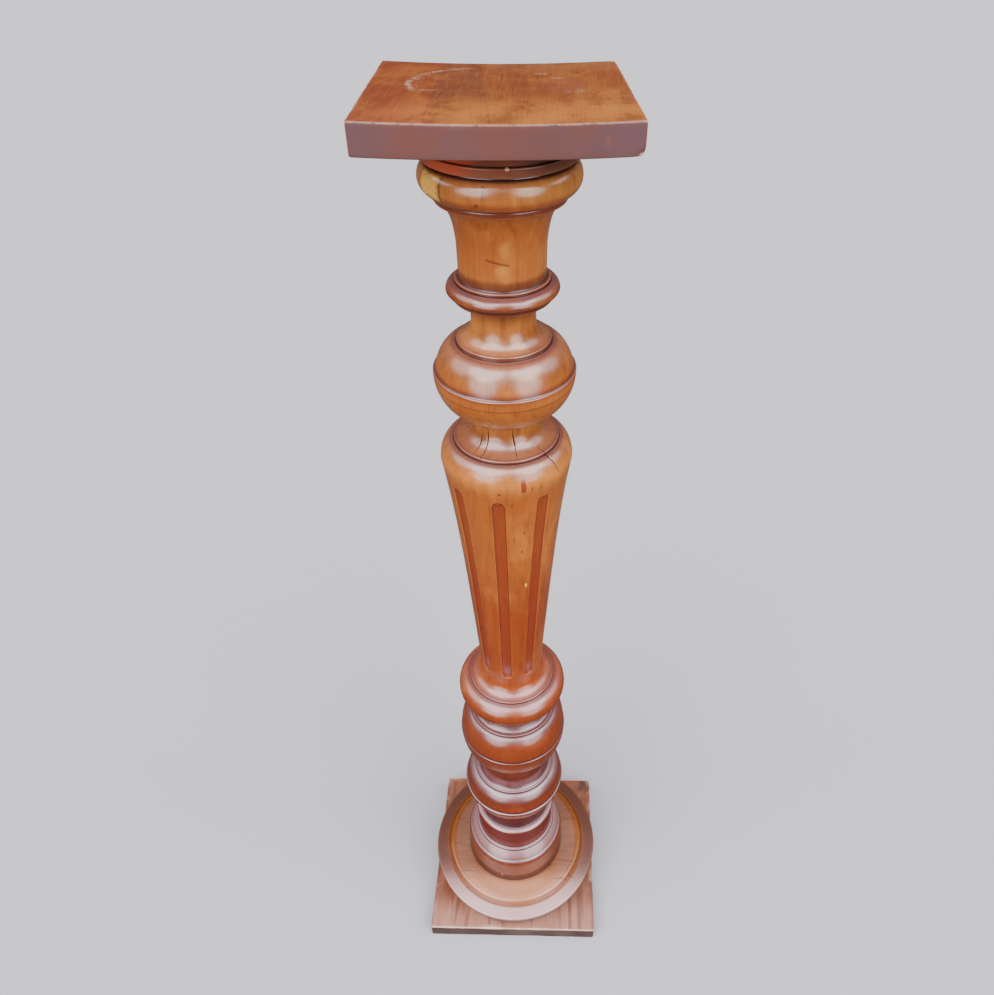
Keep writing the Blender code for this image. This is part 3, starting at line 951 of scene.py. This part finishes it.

# %% Shaft: knots, wear, painted shade and painted highlights
flute, edge, crack = (varnish.mark(name) for name in ("flute", "edge", "crack"))
level = varnish.mark("level")
# Painted reflection: a grey-lilac tint in the shallow foot of each flute, where it faces up.
spoon = flute.ramp(0.30, 0.75) * varnish.z.within(0.521, 0.534, 0.008)
# Painted shade on the inner walls of each flute, and a painted highlight along both its edges.
flute_wall_shade = flute.ramp(0.08, 0.2) * flute.ramp(0.6, 0.25)
rim_light = flute.ramp(0.0, 0.02) * flute.ramp(0.12, 0.04)
# Painted shade: a wide soft darkening beside each crease.
smoke = varnish.mark("smoke").ramp(0.02, 0.55)
# Painted sheen: a pale lilac on faces that look up, strongest on the lower mouldings.
upward_sheen = level.ramp(0.30, 0.85) * (varnish.z.ramp(0.5, 0.1) * 0.24 + 0.06)
# Painted highlight: pale lilac bands in two coves of the lower rings.
cove_sheen = varnish.z.within(0.2885, 0.2985, 0.004) * 0.2 + varnish.z.within(0.4215, 0.4280, 0.003) * 0.15
# Paler arrises: partly varnish rubbed through, partly a painted highlight.
rub = varnish.noise(60.0, 2.0, 0.5)
arris_wear_and_highlight = edge.ramp(0.25, 0.9) * (rub * 0.4 + 0.1) * (varnish.z.ramp(0.25, 0.42) * 0.7 + 0.3)
# Painted shade: a narrow dark line in each crease.
crease = edge.ramp(-0.05, -0.6) * 0.85
knot_rim = knot_mask.ramp(0.0, 0.3) * knot_mask.ramp(0.9, 0.5)
yellow_fleck = oval(degrees, varnish.z, (24.1, 0.6923), (1.6, 0.0035))
red_mark = oval(degrees, varnish.z, (-14.0, 0.0815), (1.6, 0.0035))
colour = layered(
    colour,
    # The flutes' insides are redder and darker: partly the wood's own colour, partly painted shade.
    (flute.ramp(0.05, 0.4), 0.7, tone(132, 58, 32)),
    (spoon, 0.45, tone(128, 106, 112)),
    (flute_wall_shade, 0.4, SMOKY),
    (rim_light, 0.45, tone(216, 144, 80)),
    (smoke, 0.65, SMOKY),
    (upward_sheen, 1.0, tone(205, 178, 180)),
    (cove_sheen, varnish.noise(30.0, 3.0, 0.6).ramp(0.25, 0.6), tone(176, 142, 146)),
    (arris_wear_and_highlight, 1.0, tone(196, 124, 88)),
    (crease, 1.0, tone(52, 26, 20)),
    (knot_mask, 0.8, tone(120, 48, 32)),
    (knot_rim, 0.7, SMOKY),
    (flecks, 0.6, tone(80, 34, 18)),
    (ring_marks, 0.16, tone(90, 44, 24)),
    (thin_dark, 1.0, tone(70, 30, 20)),
    (holes, 1.0, tone(60, 34, 14)),
    (crack.ramp(0.05, 0.45), 1.0, tone(30, 14, 10)),
    (yellow_fleck.ramp(1.2, 0.4), 1.0, tone(236, 170, 56)),
    (red_mark.ramp(1.3, 0.3), 0.8, tone(224, 104, 70)),
)
dull = varnish.noise(35.0, 3.0, 0.6)
rough = 0.24 + dull.ramp(0.4, 0.8) * 0.12 + flute.ramp(0.0, 0.3) * 0.06 + crease * 0.25
relief = grain * 0.15 - pore * 0.12 - thin_dark * 1.2 - holes * 1.5 - scribed - knot_mask * 0.4
matt_barrel = varnish.z.within(0.146, 0.212, 0.004) * level.ramp(0.3, 0.1)
bare = (crack.ramp(0.02, 0.2) + knot_mask * 0.3 + matt_barrel * 0.6).clip()
varnish.finish(shaft, colour, rough, relief + dull * 0.4, bare)
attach(shaft, "root")
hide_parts("turned_shaft")

# %% [markdown]
# ## The disc's and the ring's finish
#
# The disc was turned from a flat plank, so its grain runs from side to side. Its plateau is amber
# with dark short streaks near both ends of the grain. The cap ring is darker and redder.

# %% Base disc finish
amber = Finish("disc_varnish", "disc_wood", 0.9)
reach = from_axis(amber.x, amber.y)
colour, grain, pore = amber.wood("x", level_tone(146, 84, 42), level_tone(184, 118, 62), 22.0)
cloud = amber.noise(14.0, 3.0, 0.6)
streak = amber.noise(260.0, 2.0, 0.5, (0.06, 1.0, 1.0)).ramp(0.56, 0.68)
streak = streak * abs(amber.x).ramp(0.045, 0.085)
brow = reach.within(0.0985, 0.1050, 0.0025)
flange = reach.ramp(0.1085, 0.1115)
tool_lines = (reach * 9000.0 + cloud * 6.0).math("SINE").ramp(0.2, 1.0) * flange
# Painted shadow: a thin dark line along the rim's edge.
rim_shadow_line = reach.ramp(0.1256, 0.1263)
cove_shade = reach.within(0.1050, 0.1095, 0.0015)
edge = amber.mark("edge")
# Painted shade in the creases, strongest beneath the rim.
crease = edge.ramp(-0.05, -0.5)
painted_crease_shade = (crease * amber.z.ramp(0.056, 0.054) * 0.8 + crease * 0.15).clip()
colour = layered(
    colour,
    (cloud.ramp(0.45, 0.75), 0.4, level_tone(208, 146, 72)),
    # Painted reflection: the plateau is painted pale pink towards its front.
    (amber.y.ramp(-0.045, -0.085), 0.75, level_tone(244, 168, 128)),
    (streak * amber.noise(22.0).ramp(0.40, 0.52), 0.8, level_tone(96, 50, 28)),
    (brow, 0.4, level_tone(170, 108, 58)),
    (flange, 0.7, level_tone(156, 114, 102)),
    # Painted reflection: the flange is painted lilac white at its front and darker on its flanks and
    # back.
    (flange * amber.y.ramp(-0.05, -0.11), 0.9, level_tone(250, 202, 198)),
    (tool_lines, 0.18, level_tone(120, 76, 62)),
    (rim_shadow_line, 0.6, level_tone(92, 62, 60)),
    (flange * amber.y.ramp(-0.075, -0.03), 0.85, level_tone(108, 66, 52)),
    (cove_shade, 0.75, level_tone(128, 72, 44)),
    (edge.ramp(0.1, 0.7), 0.15, level_tone(214, 156, 110)),
    (painted_crease_shade, 1.0, level_tone(60, 28, 18)),
    # Painted shadow round the drum's foot, and painted shade on the disc's underside.
    (reach.ramp(0.0765, 0.0735), 0.4, level_tone(70, 32, 20)),
    (amber.z.ramp(0.0535, 0.051), 0.6, tone(82, 48, 38)),
)
dull = amber.noise(30.0, 3.0, 0.6)
rough = 0.27 + dull.ramp(0.4, 0.8) * 0.14
bare = (cove_shade * 0.7 + rim_shadow_line * 0.7 + brow * 0.35).clip()
amber.finish(disc, colour, rough, grain * 0.2 - pore * 0.15 - streak * 0.3 + dull * 0.4, bare)
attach(disc, "root")
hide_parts("base_disc")

# %% Cap ring finish
russet = Finish("ring_varnish", "ring_wood", 0.35)
degrees = degrees_round(russet.x, russet.y)
colour, grain, _ = russet.wood("x", tone(108, 62, 46), tone(134, 78, 58), 20.0)
edge = russet.mark("edge")
spot = oval(degrees, russet.z, (8.4, 1.1550), (1.6, 0.0012))
colour = layered(
    colour,
    # Painted light and shade: the ring is paler and redder on its left and dark on its right.
    (degrees.within(-62.0, -20.0, 14.0), 0.9, tone(190, 76, 46)),
    (degrees.ramp(5.0, 45.0), 0.85, tone(58, 42, 34)),
    (edge.ramp(0.1, 0.7), 0.45, tone(168, 112, 84)),
    # Painted shade in the ring's groove and creases.
    (edge.ramp(-0.05, -0.5), 0.85, tone(36, 18, 14)),
    (spot.ramp(1.3, 0.4), 1.0, tone(214, 176, 150)),
)
dull = russet.noise(40.0, 3.0, 0.6)
russet.finish(ring, colour, 0.32 + dull * 0.15, grain * 0.2 + dull * 0.3)
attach(ring, "root")
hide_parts("cap_ring")

# %% [markdown]
# ## The slab's finish
#
# The slab is glued from boards whose grain runs from front to back, so its front face is end
# grain: duller, greyer and purple-brown, the purple-grey partly a painted reflection. The top is
# orange-brown, redder on the left board, with painted golden light over its front. A pot has left
# a whitish ring of scuffs, and the arrises are pale where the varnish has gone.

# %% Top slab finish
top = Finish("slab_varnish", "slab_wood", 0.15)
cos_turn, sin_turn = float(np.cos(SLAB_TURN)), float(np.sin(SLAB_TURN))
across = top.x * cos_turn + top.y * sin_turn
depth = top.y * cos_turn - top.x * sin_turn
colour, grain, pore = top.wood("y", dry_tone(146, 84, 50), dry_tone(172, 104, 58), 20.0)
cloud = top.noise(18.0, 4.0, 0.6, twist=0.6)
patch = top.noise(34.0, 4.0, 0.65, (1.0, 0.7, 1.0))
fine = top.noise(520.0, 3.0, 0.6, (1.0, 0.06, 1.0))
seam_left = across + 0.0500 + depth * -0.02
seam_right = across + 0.0110 + depth * 0.055
left_board = seam_left.ramp(0.0012, -0.0012)
middle_board = seam_left.ramp(-0.0012, 0.0012) * seam_right.ramp(0.0012, -0.0012)
board_lines = (abs(seam_left).ramp(0.0009, 0.0002) + abs(seam_right).ramp(0.0009, 0.0002)).clip()
# Painted light: a golden glow over the front of the top, away from its left edge, and on its right.
front_glow = depth.ramp(-0.01, -0.07) * across.ramp(-0.085, -0.045)
front_glow = (front_glow + across.ramp(0.045, 0.085) * depth.ramp(0.02, -0.02) * 0.7).clip()
back_haze = depth.ramp(0.055, 0.095) * across.ramp(-0.02, 0.01)
colour = layered(
    colour,
    (left_board, 0.65, dry_tone(148, 72, 46)),
    (middle_board, 0.7, dry_tone(128, 76, 56)),
    (cloud.ramp(0.46, 0.7), 0.35, dry_tone(194, 126, 58)),
    (front_glow, patch.ramp(0.25, 0.75) * 0.5 + 0.3, dry_tone(216, 138, 66)),
    (depth.ramp(-0.02, -0.09) * left_board, 0.5, dry_tone(198, 114, 70)),
    (back_haze, 0.35, dry_tone(172, 120, 78)),
    (patch.ramp(0.50, 0.36), 0.45, dry_tone(124, 68, 46)),
    (fine.ramp(0.54, 0.70), 0.25, dry_tone(116, 62, 38)),
    (fine.ramp(0.46, 0.34), 0.2, dry_tone(200, 134, 78)),
    (board_lines, 0.14, dry_tone(104, 52, 34)),
)

# %% Slab: ring mark and scuffs
POT_MIDDLE = (-0.0090, 0.0203)
# Each scratch: its place in X and Y, then half its width and half its depth, all in metres.
SCRATCHES = ((-0.0545, -0.006, 0.0100, 0.0028), (0.0328, 0.0605, 0.0060, 0.0050))
SCRATCHES += ((0.0640, -0.0042, 0.0042, 0.0085), (0.0551, -0.0070, 0.0030, 0.0070))
SCRATCHES += ((0.0470, 0.0438, 0.0080, 0.0035), (0.0430, -0.0575, 0.0040, 0.0016))
rim_x, rim_y = top.x - POT_MIDDLE[0], top.y - POT_MIDDLE[1]
reach, turn = from_axis(rim_x, rim_y), degrees_round(rim_x, rim_y)
scratchy = top.noise(300.0, 3.0, 0.65, twist=1.0)
ring_line = abs(reach - 0.0650 + (cloud - 0.5) * 0.007).ramp(0.0042, 0.0004)
ring_line = ring_line * turn.within(-163.0, -66.0, 7.0) * scratchy.ramp(0.42, 0.58)
ring_left = abs(reach - 0.0625).ramp(0.0095, 0.002) * turn.within(-118.0, -58.0, 8.0)
ring_left = ring_left * scratchy.ramp(0.50, 0.66)
scuff = (ring_line * 0.8 + ring_left * 0.5).clip()
for mark_x, mark_y, wide, deep in SCRATCHES:
    spot = oval(top.x, top.y, (mark_x, mark_y), (wide, deep))
    scuff = scuff.math("MAXIMUM", spot.ramp(1.5, 0.1) * scratchy.ramp(0.42, 0.62) * 0.6)
bruise = oval(top.x, top.y, (0.052, 0.018), (0.022, 0.028))
colour = layered(
    colour,
    (scuff * top.z.ramp(1.1950, 1.1960), 0.8, dry_tone(216, 176, 152)),
    (bruise.ramp(1.4, 0.2), 0.4, dry_tone(148, 84, 66)),
)

# %% Slab: end grain on the front and back, wear and chips
ends = abs(depth).ramp(0.1030, 0.1038)
sides = abs(across).ramp(0.1030, 0.1038)
end_cloud = top.noise(11.0, 3.0, 0.5, (1.0, 1.0, 0.6))
# Partly painted reflection: the end grain's purple-grey, greyest towards its left and right ends.
end_colour = layered(
    end_cloud.ramp(0.35, 0.68).mix(tone(94, 72, 70), tone(107, 74, 65)),
    (top.noise(22.0, 4.0, 0.6, (1.0, 1.0, 1.6)).ramp(0.46, 0.66), 0.4, tone(92, 76, 80)),
    (top.noise(40.0, 2.0, 0.5).ramp(0.66, 0.76), 0.5, tone(150, 96, 62)),
    (top.noise(700.0, 2.0, 0.5).ramp(0.55, 0.75), 0.15, tone(96, 66, 60)),
    (abs(across).ramp(0.06, 0.10), 0.6, tone(96, 76, 78)),
)
wear, chip = top.mark("wear"), top.mark("chip")
middle_top = (SLAB_HIGH - CUP - SETTLED) * MM
below_top = middle_top + (across / (SLAB_HALF * MM)) ** 2.0 * (CUP * MM) - top.z
thin_arris = abs(depth).ramp(0.1028, 0.1036) * below_top.ramp(0.0016, 0.0009)
side_arris = abs(across).ramp(0.1026, 0.1036) * below_top.ramp(0.0020, 0.0010)
pale = thin_arris * scratchy.ramp(0.30, 0.52) * 0.38
pale = (pale + side_arris * scratchy.ramp(0.42, 0.58) * 0.75 + wear * 0.2).clip()
colour = layered(
    colour,
    (ends, 1.0, end_colour),
    (sides, 0.7, tone(134, 76, 44)),
    (pale, 1.0, tone(182, 142, 122)),
    (chip.ramp(0.4, 0.9), 0.85, tone(196, 178, 158)),
)
dull = top.noise(25.0, 3.0, 0.6)
rough = 0.30 + dull.ramp(0.4, 0.75) * 0.16 + ends * 0.18 + scuff * 0.25 + chip * 0.2
relief = grain * 0.2 - pore * 0.15 + dull * 0.5 - board_lines * 0.5 - scuff * 0.3
top.finish(slab, colour, rough.clip(), relief)
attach(slab, "root")
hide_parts("top_slab")

# %% [markdown]
# ## The plinth's finish
#
# The plinth board is drier than the rest: pinkish brown with darker streaks from front to back,
# painted paler towards the front as a sheen, with grey end grain on its front and back faces and a
# painted shadow round the disc.

# %% Plinth finish
foot = Finish("plinth_varnish", "plinth_wood", 0.25)
colour, grain, pore = foot.wood("y", dry_tone(158, 94, 66), dry_tone(222, 156, 120), 26.0)
cloud = foot.noise(15.0, 3.0, 0.6, (1.0, 0.5, 1.0))
dark_streak = foot.noise(130.0, 2.0, 0.5, (1.0, 0.05, 1.0)).ramp(0.55, 0.7)
stain = foot.x.ramp(0.092, 0.104) * foot.y.ramp(0.098, 0.108) * cloud.ramp(0.3, 0.5)
ends = abs(foot.y).ramp(0.1235, 0.1243)
sides = abs(foot.x).ramp(0.1235, 0.1243)
grey = foot.noise(16.0, 3.0, 0.5).ramp(0.35, 0.7).mix(tone(78, 66, 63), tone(98, 82, 75))
thin_arris = abs(abs(foot.y) - 0.1241).ramp(0.0011, 0.0003) * foot.z.ramp(0.0205, 0.0215)
pale = (thin_arris * 0.8 + foot.mark("wear") * 0.7).clip()
colour = layered(
    colour,
    (cloud.ramp(0.45, 0.72), 0.4, dry_tone(204, 160, 138)),
    # Painted sheen: the top is painted paler towards its front.
    (foot.y.ramp(-0.07, -0.11), 0.5, dry_tone(246, 184, 158)),
    (foot.y.ramp(0.03, 0.09), 0.6, dry_tone(168, 102, 72)),
    (dark_streak, 0.6, dry_tone(132, 76, 56)),
    (stain, 0.7, dry_tone(58, 34, 28)),
    (ends, 1.0, grey),
    (sides, 0.8, tone(104, 66, 48)),
    (pale, 1.0, tone(206, 176, 152)),
    # Painted shadow round and beneath the disc.
    (from_axis(foot.x, foot.y).ramp(0.120, 0.111), 0.6, tone(50, 26, 20)),
)
dull = foot.noise(25.0, 3.0, 0.6)
rough = 0.34 + dull.ramp(0.4, 0.75) * 0.16 + ends * 0.2
foot.finish(plinth, colour, rough.clip(), grain * 0.25 - pore * 0.2 + dull * 0.4 - dark_streak * 0.2)
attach(plinth, "root")
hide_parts("plinth_board")

# %% [markdown]
# ## Studio
#
# The photograph shows the varnish lit from two sides: one pale reflection on the left and one on
# the right of every moulding, with a quieter gap between them. Wide, far-off lights give that: a
# high and a low one on each side, a weaker one from each flank, a very wide one above the front,
# and one from behind. Being far off, they light the plain pale floor evenly. The floor is kept out
# of the varnish's reflections, and the pale room behind is seen only directly, so the wood stays
# warm and deep between its highlights.

# %% Lights
LEFT_TINT, RIGHT_TINT, TOP_TINT = (0.95, 0.90, 1.0), (0.95, 0.91, 1.0), (0.93, 0.90, 1.0)
# Each light: its name, degrees round from the front, degrees up, width in degrees, strength, tint.
LIGHTS = (
    ("left_high", -38, 52, 50, 7.2, LEFT_TINT),
    ("left_low", -32, 14, 42, 3.2, LEFT_TINT),
    ("left_side", -88, 36, 42, 1.9, LEFT_TINT),
    ("right_high", 52, 50, 46, 6.2, RIGHT_TINT),
    ("right_low", 42, 13, 42, 2.9, RIGHT_TINT),
    ("right_side", 96, 36, 40, 1.7, RIGHT_TINT),
    ("ceiling", 0, 66, 90, 2.4, TOP_TINT),
    ("back_high", 180, 78, 34, 0.9, TOP_TINT),
)


def wide_light(name, turn, rise, width, strength, tint):
    """A far light from turn degrees round and rise degrees up, that looks width degrees wide."""
    data = bpy.data.lights.new(name, "SUN")
    data.angle = np.radians(width)
    data.energy = strength
    data.color = tint
    light = bpy.data.objects.new(name, data)
    bpy.context.scene.collection.objects.link(light)
    spin, lift = np.radians(turn), np.radians(rise)
    light.matrix_world = Matrix.Rotation(spin, 4, "Z") @ Matrix.Rotation(np.pi / 2 - lift, 4, "X")


for settings in LIGHTS:
    wide_light(*settings)
print(len(LIGHTS), "lights")

# %% Floor and surroundings
FLOOR_HALF = 16.0
FLOOR_GREY = (0.21, 0.21, 0.212, 1.0)
SKY = ((0.90, 0.91, 0.93, 1.0), 0.16)  # what lights the object: colour and strength
BACKDROP = ((0.98, 0.98, 1.0, 1.0), 1.1)  # what is seen behind it

floor_mesh = bpy.data.meshes.new("studio_floor")
corners = [(-FLOOR_HALF, -FLOOR_HALF, 0), (FLOOR_HALF, -FLOOR_HALF, 0)]
corners += [(FLOOR_HALF, FLOOR_HALF, 0), (-FLOOR_HALF, FLOOR_HALF, 0)]
floor_mesh.from_pydata(corners, [], [(0, 1, 2, 3)])
floor = bpy.data.objects.new("studio_floor", floor_mesh)
bpy.context.scene.collection.objects.link(floor)
floor_paint = bpy.data.materials.new("floor_paint")
floor_paint.use_nodes = True
floor_shader = floor_paint.node_tree.nodes["Principled BSDF"]
floor_shader.inputs["Base Color"].default_value = FLOOR_GREY
floor_shader.inputs["Roughness"].default_value = 0.9
floor_shader.inputs["Specular IOR Level"].default_value = 0.1
floor_mesh.materials.append(floor_paint)
floor.visible_glossy = False

world = bpy.data.worlds.new("pale_room")
world.use_nodes = True
room = world.node_tree
sky = room.nodes["Background"]
backdrop = room.nodes.new("ShaderNodeBackground")
for source, (colour, strength) in ((sky, SKY), (backdrop, BACKDROP)):
    source.inputs["Color"].default_value = colour
    source.inputs["Strength"].default_value = strength
ray = room.nodes.new("ShaderNodeLightPath")
chosen = room.nodes.new("ShaderNodeMixShader")
room.links.new(ray.outputs["Is Camera Ray"], chosen.inputs[0])
room.links.new(sky.outputs[0], chosen.inputs[1])
room.links.new(backdrop.outputs[0], chosen.inputs[2])
room.links.new(chosen.outputs[0], room.nodes["World Output"].inputs["Surface"])
bpy.context.scene.world = world
